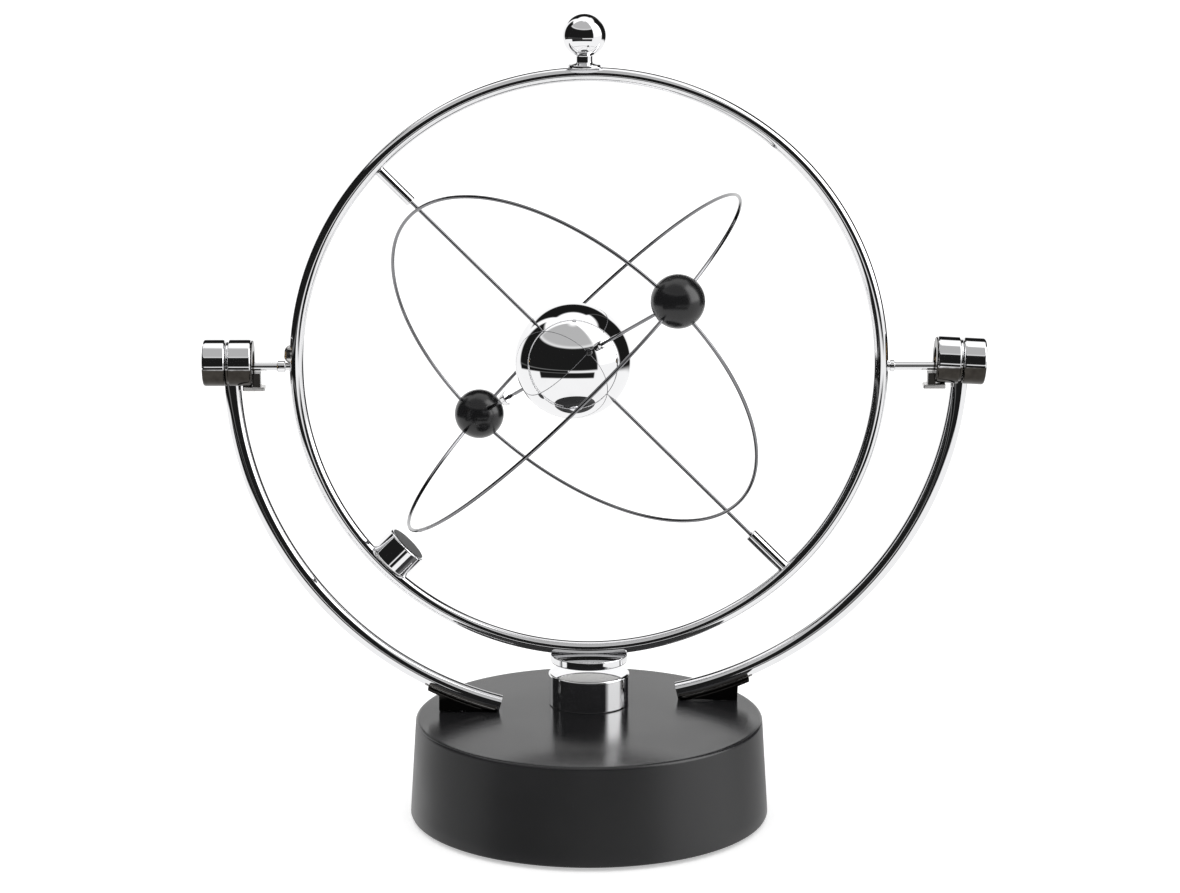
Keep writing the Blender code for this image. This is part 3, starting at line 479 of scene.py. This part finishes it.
def circle_points(radius, start, stop, count):
    """Points of an arc in the XZ plane, angles from +X towards +Z."""
    angles = [start + (stop - start) * i / count for i in range(count + 1)]
    return [Vector((radius * math.cos(a), 0.0, radius * math.sin(a))) for a in angles]


def extruded(outline, depth, matrix):
    """An outline in the local XZ plane made solid across Y."""
    bm = bmesh.new()
    front = [bm.verts.new(matrix @ Vector((x, -depth / 2, z))) for x, z in outline]
    back = [bm.verts.new(matrix @ Vector((x, depth / 2, z))) for x, z in outline]
    bm.faces.new(front)
    bm.faces.new(back[::-1])
    for i in range(len(outline)):
        j = (i + 1) % len(outline)
        bm.faces.new((front[j], front[i], back[i], back[j]))
    return bm


def aim(direction, place):
    """The frame at a place whose +Z points along a direction."""
    return Matrix.Translation(place) @ Vector(direction).to_track_quat("Z", "Y").to_matrix().to_4x4()


def ball_arc(radius, start, stop, steps):
    """(radius, height) points of a ball, angles from its top."""
    angles = [start + (stop - start) * i / steps for i in range(steps + 1)]
    points = [(radius * math.sin(a), radius * math.cos(a)) for a in angles]
    return [(0.0 if r < ON_AXIS else r, z) for r, z in points]


# ---------- the base ----------

def make_base():
    """A drafted wall under a flat top with a rounded rim, open below."""
    here = Matrix.Translation(BASE_CENTRE)
    bottom, wall_top, roof = SHELL_LOW.z, BASE_TOP - BASE_RIM, BASE_TOP - BASE_ROOF
    steps = 8
    rim = [(BASE_TOP_R - BASE_RIM + BASE_RIM * math.sin(a), wall_top + BASE_RIM * math.cos(a))
           for a in (math.pi / 2 * i / steps for i in range(steps + 1))]
    rings = [(BASE_TOP_R * share, BASE_TOP) for share in (0.3, 0.6, 0.85, 0.97)]
    drop, draft = bottom + 0.6 * MM - wall_top, BASE_BOTTOM_R - BASE_TOP_R
    side = [(BASE_TOP_R + draft * t, wall_top + drop * t) for t in (i / steps for i in range(1, steps + 1))]
    outline = [(0.0, BASE_TOP)] + rings + rim + side + [
        (BASE_BOTTOM_R - 0.2 * MM, bottom + 0.15 * MM), (BASE_BOTTOM_R - 0.6 * MM, bottom),
        (BASE_BOTTOM_R - BASE_WALL + 0.3 * MM, bottom), (BASE_BOTTOM_R - BASE_WALL, bottom + 0.3 * MM),
        (BASE_TOP_R - BASE_WALL, roof), (0.0, roof),
    ]
    piece("base_cover", turned(outline, here, 160), "base", "stand", "base_shell")


def make_coil_cup():
    high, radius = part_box("coil_housing")[1][2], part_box("coil_housing")[1][0] - PIVOT.x
    here = Matrix.Translation((PIVOT.x, 0.0, 0.0))
    low = BASE_TOP + 0.02 * MM
    outline = rounded([
        (0.0, high), (radius * 0.5, high), (radius, high), (radius, (high + low) / 2), (radius, low),
        (radius - CUP_WALL, low), (radius - CUP_WALL, high - CUP_WALL), (0.0, high - CUP_WALL),
    ], 0.55 * MM, 6)
    piece("coil_cup", turned(outline, here, 128), "mirror", "stand", "coil_housing")


def arm_frame(side, word):
    """Where an arm stands: splayed about its foot, then leaning about the ring's pivot."""
    foot = Vector((side * ARM_FOOT_X, 0.0, BASE_TOP - PIVOT.z))
    splay = Matrix.Translation(foot) @ Matrix.Rotation(ARM_SPLAY[word], 4, "Y") @ Matrix.Translation(-foot)
    mirror = Matrix.Diagonal((side, 1.0, 1.0, 1.0))
    return Matrix.Translation(PIVOT) @ Matrix.Rotation(ARM_LEAN[word], 4, "X") @ splay @ mirror


def housing_frame(side, word):
    """The middle of a bearing housing, with +Z outwards along it."""
    middle = PIVOT + Vector((side * HOUSING_X[word], 0.0, HOUSING_UP[word]))
    tilt = Matrix.Rotation(HOUSING_TILT[word], 4, "Y")
    return Matrix.Translation(middle) @ tilt @ aim((side, 0.0, 0.0), Vector())


def make_arm(side, word):
    """One arm: its bent rod, the two halves of its bearing housing, its foot and its pin rest."""
    here, housing = arm_frame(side, word), housing_frame(side, word)
    stop = math.acos(ARM_INNER_X / ARM_R)
    rod = circle_points(ARM_R, -math.radians(0.6), -stop, 80)
    piece(f"arm_rod_{word}", swept(rod, ARM_ROD_R, here, 36), "chrome", "stand", f"arm_{word}")
    inner, spigot_r, wall = -HOUSING_HALF, HOUSING_R - 0.6 * MM, 1.0 * MM
    cup = rounded([
        (HOUSING_MOUTH_R, inner), (HOUSING_R * 0.7, inner), (HOUSING_R, inner), (HOUSING_R, -HOUSING_GROOVE),
        (spigot_r, -0.4 * MM), (spigot_r, HOUSING_STEP), (HOUSING_BORE_R, HOUSING_STEP),
        (HOUSING_BORE_R, inner + wall), (HOUSING_MOUTH_R, inner + wall),
    ], 0.8 * MM, 6)
    piece(f"bearing_cup_{word}", turned(cup, housing, 96), "housing", "stand")
    floor = HOUSING_HALF - 1.2 * MM
    cap = rounded([
        (0.0, HOUSING_HALF), (HOUSING_R * 0.6, HOUSING_HALF), (HOUSING_R, HOUSING_HALF),
        (HOUSING_R, HOUSING_GROOVE), (HOUSING_BORE_R, HOUSING_GROOVE), (HOUSING_BORE_R, floor), (0.0, floor),
    ], 0.8 * MM, 6)
    piece(f"end_cap_{word}", turned(cap, housing, 96), "housing", "stand", f"bearing_cap_{word}")
    make_foot(side, word, here)
    make_pin_rest(side, word)


def make_foot(side, word, here):
    """The wedge under the rod, with its thin tongue, and the braze where the two meet."""
    floor = BASE_TOP - PIVOT.z + 0.15 * MM
    outer, tip, inner = 41.0 * MM, 44.0 * MM, 25.4 * MM
    under, tongue = ARM_R + ARM_ROD_R - 0.1 * MM, 0.65 * MM
    steps = 16

    def on_circle(radius, x):
        return (x, -math.sqrt(radius * radius - x * x))

    wedge = [(inner, floor), (outer, floor), on_circle(under + tongue, outer), on_circle(under + tongue, tip)]
    wedge += [on_circle(under, tip + (inner - tip) * i / steps) for i in range(steps + 1)]
    # The wedge's near-black plate is a painted dark reflection of chrome, not a dark finish.
    piece(f"arm_foot_{word}", extruded(wedge, 6.4 * MM, here), "near_black", "stand", bevel=0.15 * MM)
    seam_r, seam_aside, seam_under = 0.42 * MM, 1.35 * MM, under - 0.45 * MM
    bm = bmesh.new()
    reach = math.acos(inner / ARM_R)
    start = math.acos(tip / ARM_R)
    for across in (-1, 1):
        arc = circle_points(seam_under, -start, -reach, 40)
        seam = [Vector((point.x, across * seam_aside, point.z)) for point in arc]
        swept(seam, seam_r, here, 10, into=bm)
    piece(f"arm_braze_{word}", bm, "braze", "stand")


def make_pin_rest(side, word):
    """The small angle under the housing, with its tab below the pin, and the dark washer on the housing."""
    inner = HOUSING_X[word] - HOUSING_HALF
    under = HOUSING_UP[word] - HOUSING_R
    here = Matrix.Translation(PIVOT) @ Matrix.Diagonal((side, 1.0, 1.0, 1.0))
    lip = [(inner - 3.4 * MM, under - 1.2 * MM), (inner + 2.6 * MM, under - 1.2 * MM),
           (inner + 2.6 * MM, under + 0.3 * MM), (inner - 3.4 * MM, under - 0.1 * MM)]
    piece(f"arm_lip_{word}", extruded(lip, 4.4 * MM, here), "braze", "stand", bevel=0.3 * MM)
    top = -PIN_R - 0.5 * MM
    tab = [(inner - 2.2 * MM, under - 0.5 * MM), (inner - 0.1 * MM, under - 0.5 * MM),
           (inner - 0.1 * MM, top), (inner - 2.2 * MM, top)]
    piece(f"arm_tab_{word}", extruded(tab, 4.2 * MM, here), "near_black", "stand", bevel=0.25 * MM)
    front, back, washer_r = -HOUSING_HALF - 0.25 * MM, 0.2 * MM - HOUSING_HALF, 6.0 * MM
    washer = rounded([
        (HOUSING_MOUTH_R, front), (washer_r, front), (washer_r, back), (HOUSING_MOUTH_R, back),
        (HOUSING_MOUTH_R, -HOUSING_HALF - 0.2 * MM),
    ], 0.1 * MM)
    piece(f"end_washer_{word}", turned(washer, housing_frame(side, word), 72), "near_black", "stand")


# ---------- the ring ----------

def make_ring():
    """The closed ring of round rod, and its two pins, each with a collar."""
    here = Matrix.Translation(PIVOT)
    loop = circle_points(RING_R, 0.0, math.tau, 288)[:-1]
    piece("ring_rod", swept(loop, RING_ROD_R, here, 40, closed=True), "chrome", "ring", "outer_ring")
    for side, word in SIDES:
        low, high = PIN_COLLARS[word]
        end = HOUSING_X[word] - HOUSING_HALF + PIN_INSIDE
        outline = rounded([
            (0.0, end), (PIN_R * 0.5, end), (PIN_R, end - PIN_R), (PIN_R, high), (PIN_COLLAR_R, high),
            (PIN_COLLAR_R, low), (PIN_R, low), (PIN_R, PIN_ROOT), (0.0, PIN_ROOT),
        ], 0.22 * MM)
        pin = turned(outline, aim((side, 0.0, 0.0), PIVOT), 40)
        piece(f"swing_pin_{word}", pin, "chrome", "ring", f"pivot_pin_{word}")
    make_ring_braze(here)


def make_ring_braze(here):
    """The lumpy bead on the ring's outside where its rod was closed, just above the left pin."""
    bm = bmesh.new()
    start, advance, sunk = 0.7, 0.22, 0.5 * MM
    height, width = 2.0 * MM, 1.7 * MM
    across = Vector((0.0, 1.0, 0.0))
    steps = 16
    turns = [math.tau * k / steps for k in range(steps)]
    loops = []
    for index in range(steps + 1):
        angle = math.pi - math.radians(start + advance * index)
        radial = Vector((math.cos(angle), 0.0, math.sin(angle)))
        centre = (RING_OUTSIDE - sunk) * radial
        t = index / steps
        swell = max(math.sin(math.pi * t), 0.03) ** 0.45 * (1.0 + 0.08 * math.sin(9.0 * t))
        around = [height * math.cos(turn) * radial + width * math.sin(turn) * across for turn in turns]
        loops.append([bm.verts.new(here @ (centre + swell * offset)) for offset in around])
    for first, second in zip(loops, loops[1:]):
        for k in range(steps):
            bm.faces.new((first[k], first[(k + 1) % steps], second[(k + 1) % steps], second[k]))
    bm.faces.new(loops[0][::-1])
    bm.faces.new(loops[-1])
    piece("ring_braze", bm, "braze", "ring")


def make_finial():
    """A hollow ball on a short stepped neck."""
    low, high = (Vector(corner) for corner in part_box("finial_ball"))
    radius = (high.x - low.x) / 2
    middle = Vector(((low.x + high.x) / 2, 0.0, high.z - radius))
    centre = Matrix.Translation(middle)
    here = Matrix.Translation((middle.x, 0.0, PIVOT.z))
    mouth_r, wall = 1.3 * MM, 0.8 * MM
    mouth = math.pi - math.asin(mouth_r / radius)
    shell = ball_arc(radius, 0.0, mouth, 48) + ball_arc(radius - wall, 0.0, mouth, 24)[::-1]
    piece("top_ball", turned(shell, centre, 96), "mirror", "ring", "finial_ball")
    top, root, neck_r, saddle_r = 84.7 * MM, 80.7 * MM, 2.2 * MM, 4.4 * MM
    neck = rounded([
        (0.0, top), (neck_r - 0.3 * MM, top), (neck_r, top - 0.3 * MM), (neck_r, root + 1.4 * MM),
        (saddle_r, root + 0.9 * MM), (saddle_r, root), (0.0, root),
    ], 0.3 * MM)
    piece("top_neck", turned(neck, here, 64), "chrome", "ring", "finial_neck")


def make_magnets():
    """The cup under the ring, and the pot on its lower left with a dark disc on its face."""
    holder_low, holder_high = (Vector(corner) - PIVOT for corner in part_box("magnet_holder"))
    low, high, radius = holder_low.z, holder_high.z, holder_high.x
    lip_r, recess = radius - 0.7 * MM, low + 1.1 * MM
    outline = rounded([
        (0.0, high), (radius * 0.6, high), (radius, high), (radius, low), (lip_r, low), (lip_r, recess),
        (0.0, recess),
    ], 0.3 * MM)
    cup = turned(outline, Matrix.Translation(PIVOT), 96)
    piece("ring_magnet_cup", cup, "chrome", "ring", "magnet_holder")
    pot_r, bore_r, half_r = 6.0 * MM, 5.2 * MM, 3.0 * MM
    root, end, floor = 76.9 * MM, 69.8 * MM, 70.6 * MM
    pot = rounded([
        (bore_r, root), (pot_r, root), (pot_r, end), (half_r, end), (0.0, end), (0.0, floor), (bore_r, floor),
    ], 0.55 * MM, 6)
    place = aim(DOWN_LEFT, PIVOT)
    piece("side_magnet_pot", turned(pot, place, 80), "mirror", "ring", "side_magnet_housing")
    disc_r, outer, inner = 5.3 * MM, end - 0.15 * MM, end + 0.1 * MM
    disc = rounded([(0.0, outer), (half_r, outer), (disc_r, outer), (disc_r, inner), (0.0, inner)], 0.12 * MM)
    piece("side_magnet_face", turned(disc, place, 80), "inner", "ring")


def make_sleeves():
    """The two tubes that reach in from the ring and carry the axle's ends."""
    shift = (ROTOR - PIVOT).dot(AXLE)
    for side, word, end, radius in ((-1, "upper", 65.3 * MM, 1.5 * MM), (1, "lower", 64.3 * MM, 1.75 * MM)):
        low, high = end - side * shift, SLEEVE_ROOT - side * shift
        outline = rounded([
            (SLEEVE_BORE_R, low), (radius, low), (radius, high), (SLEEVE_BORE_R, high),
            (SLEEVE_BORE_R, low + 0.4 * MM),
        ], 0.25 * MM)
        sleeve = [(r, side * z) for r, z in outline]
        piece(f"sleeve_{word}", turned(sleeve, aim(AXLE, ROTOR), 48), "chrome", "ring", f"axle_sleeve_{word}")


# ---------- the rotor ----------

def make_sphere():
    """A hollow sphere with a hole at each pole for the axle."""
    hole_r = 0.65 * MM
    hole = math.asin(hole_r / SPHERE_R)
    shell = ball_arc(SPHERE_R, hole, math.pi - hole, 96)
    shell += ball_arc(SPHERE_R - SPHERE_WALL, hole, math.pi - hole, 40)[::-1]
    sphere = turned(shell, ROTOR_FRAME, 160)
    piece("mirror_sphere", sphere, "mirror", "rotor", "sphere_upper", "sphere_lower")


def make_rods():
    """The axle, and the two spokes that carry the balls, each with a collar."""
    shift = (ROTOR - PIVOT).dot(AXLE)
    top, bottom = AXLE_HALF - shift, -AXLE_HALF - shift
    ends = rounded([(0.0, top), (WIRE_R, top), (WIRE_R, bottom), (0.0, bottom)], 0.12 * MM)
    piece("axle_wire", turned(ends, ROTOR_FRAME, 24), "wire", "rotor", "axle")
    reach, root = BALL_ORBIT_R - BALL_R + 1.0 * MM, 3.2 * MM
    for side, word, inner, outer, collar_r in (
        (1, "near", 15.6 * MM, 18.2 * MM, 1.3 * MM), (-1, "far", 40.4 * MM, 43.6 * MM, 2.1 * MM),
    ):
        outward = CARRIER_FRAME @ aim((side, 0.0, 0.0), Vector())
        rod = [(0.0, reach), (WIRE_R, reach), (WIRE_R, root), (0.0, root)]
        piece(f"spoke_{word}", turned(rod, outward, 24), "wire", "rotor", f"cross_rod_{word}")
        collar = rounded([
            (COLLAR_BORE_R, outer), (collar_r - 0.35 * MM, outer), (collar_r, outer - 0.9 * MM),
            (collar_r, inner), (COLLAR_BORE_R, inner), (COLLAR_BORE_R, outer - 0.2 * MM),
        ], 0.2 * MM)
        piece(f"collar_{word}", turned(collar, outward, 40), "chrome", "rotor", f"ferrule_{word}")
        make_ball(side, word, outward)


def make_ball(side, word, outward):
    """A moulded ball with a low boss round the hole that takes the spoke."""
    here = outward @ Matrix.Translation((0.0, 0.0, BALL_ORBIT_R))
    hole_r, hole_end = 0.56 * MM, -BALL_R + 3.0 * MM
    outline = ball_arc(BALL_R, 0.0, math.pi - math.asin(BALL_BOSS_R / BALL_R), 64)
    boss = [(BALL_BOSS_R, -BALL_R + 0.02 * MM), (0.9 * MM, -BALL_R - 0.02 * MM), (hole_r, -BALL_R + 0.1 * MM),
            (hole_r, hole_end), (0.0, hole_end)]
    piece(f"orbit_ball_{word}", turned(outline + boss, here, 112), "ball", "rotor", f"ball_{word}")


def make_orbits():
    """Each oval orbit is two wires that stop inside the balls."""
    reach = BALL_R - 1.4 * MM
    steps = 120
    beside = CARRIER_FRAME @ Matrix.Translation((0.0, MERIDIAN_ASIDE, 0.0))
    flat = CARRIER_FRAME @ Matrix.Rotation(math.pi / 2, 4, "X")
    for span, words, here in (
        (MERIDIAN_SPAN, ("meridian_upper", "meridian_lower"), beside),
        (EQUATOR_SPAN, ("equator_front", "equator_rear"), flat),
    ):
        clear = math.asin(reach / span)
        for word, start in zip(words, (clear, math.pi + clear)):
            angles = [start + (math.pi - 2 * clear) * i / steps for i in range(steps + 1)]
            path = [Vector((BALL_ORBIT_R * math.cos(a), 0.0, span * math.sin(a))) for a in angles]
            piece(f"wire_{word}", swept(path, WIRE_R, here, 16), "wire", "rotor", f"orbit_{word}")


# ---------- stage ----------

def add_patch(tree, level, azimuth, height, bounds, soft, value):
    """Paints one soft-edged patch of the studio, given in degrees, over the level so far."""
    (left, right), (low, high) = bounds
    inside = None
    for angle, start, stop in ((azimuth, left, right), (height, low, high)):
        rising = smooth_step(tree, angle, math.radians(start - soft), math.radians(start + soft))
        falling = smooth_step(tree, angle, math.radians(stop - soft), math.radians(stop + soft), 1.0, 0.0)
        band = calc(tree, "MULTIPLY", rising, falling)
        inside = band if inside is None else calc(tree, "MULTIPLY", inside, band)
    kept = calc(tree, "MULTIPLY", level, calc(tree, "SUBTRACT", 1.0, inside))
    return calc(tree, "ADD", kept, calc(tree, "MULTIPLY", inside, value))


def make_studio():
    """White surroundings with softboxes and dark flags that only reflections see."""
    world = bpy.data.worlds.new("studio")
    bpy.context.scene.world = world
    world.use_nodes = True
    tree = world.node_tree
    tree.nodes.clear()
    split = node(tree, "ShaderNodeSeparateXYZ")
    feed(tree, split.inputs[0], node(tree, "ShaderNodeTexCoord").outputs["Generated"])
    x, y, z = split.outputs
    azimuth = calc(tree, "ARCTAN2", x, calc(tree, "MULTIPLY", y, -1.0))
    height = calc(tree, "ARCSINE", z)
    level = calc(tree, "ADD", smooth_step(tree, height, -0.2, 1.2, 0.0, 0.25), 1.0)
    for bounds, soft, value in STUDIO_PATCHES:
        level = add_patch(tree, level, azimuth, height, bounds, soft, value)
    paths = node(tree, "ShaderNodeLightPath")
    mirror = node(tree, "ShaderNodeBackground")
    mirror.inputs["Color"].default_value = WHITE
    feed(tree, mirror.inputs["Strength"], level)
    even = node(tree, "ShaderNodeBackground")
    even.inputs["Color"].default_value = WHITE
    even.inputs["Strength"].default_value = 1.0
    blend = node(tree, "ShaderNodeMixShader")
    feed(tree, blend.inputs[0], paths.outputs["Is Glossy Ray"])
    tree.links.new(even.outputs[0], blend.inputs[1])
    tree.links.new(mirror.outputs[0], blend.inputs[2])
    tree.links.new(blend.outputs[0], node(tree, "ShaderNodeOutputWorld").inputs["Surface"])


def make_floor():
    """A plain white floor that reflections don't see."""
    bm = bmesh.new()
    bmesh.ops.create_circle(bm, cap_ends=True, segments=96, radius=FLOOR_R)
    mesh = bpy.data.meshes.new("floor")
    bm.to_mesh(mesh)
    bm.free()
    floor = bpy.data.objects.new("floor", mesh)
    bpy.context.scene.collection.objects.link(floor)
    material, tree, shader, place = start_material("floor_white", (0.95, 0.95, 0.95))
    tone = noise(tree, place, 3.0, 2.0)
    white = mix_colours(tree, tone, (0.94, 0.94, 0.94, 1.0), (0.96, 0.96, 0.96, 1.0))
    feed(tree, shader.inputs["Base Color"], white)
    shader.inputs["Roughness"].default_value = 0.9
    shader.inputs["Specular IOR Level"].default_value = 0.0
    shader.inputs["Emission Color"].default_value = WHITE
    shader.inputs["Emission Strength"].default_value = FLOOR_GLOW
    mesh.materials.append(material)
    floor.visible_glossy = False


def make_camera():
    data = bpy.data.cameras.new("camera")
    data.lens = CAMERA_LENS
    data.sensor_width = CAMERA_SENSOR
    data.clip_start = 0.05
    camera = bpy.data.objects.new("camera", data)
    bpy.context.scene.collection.objects.link(camera)
    camera.location = PIVOT + CAMERA_FROM_PIVOT
    target = PIVOT + CAMERA_AIM_FROM_PIVOT
    camera.rotation_euler = (target - camera.location).to_track_quat("-Z", "Y").to_euler()
    bpy.context.scene.camera = camera


def main():
    bpy.context.scene.view_settings.view_transform = "Standard"
    dress_cad_nodes()
    make_camera()
    make_studio()
    make_floor()
    make_base()
    make_coil_cup()
    for side, word in SIDES:
        make_arm(side, word)
    make_ring()
    make_finial()
    make_magnets()
    make_sleeves()
    make_sphere()
    make_rods()
    make_orbits()


main()
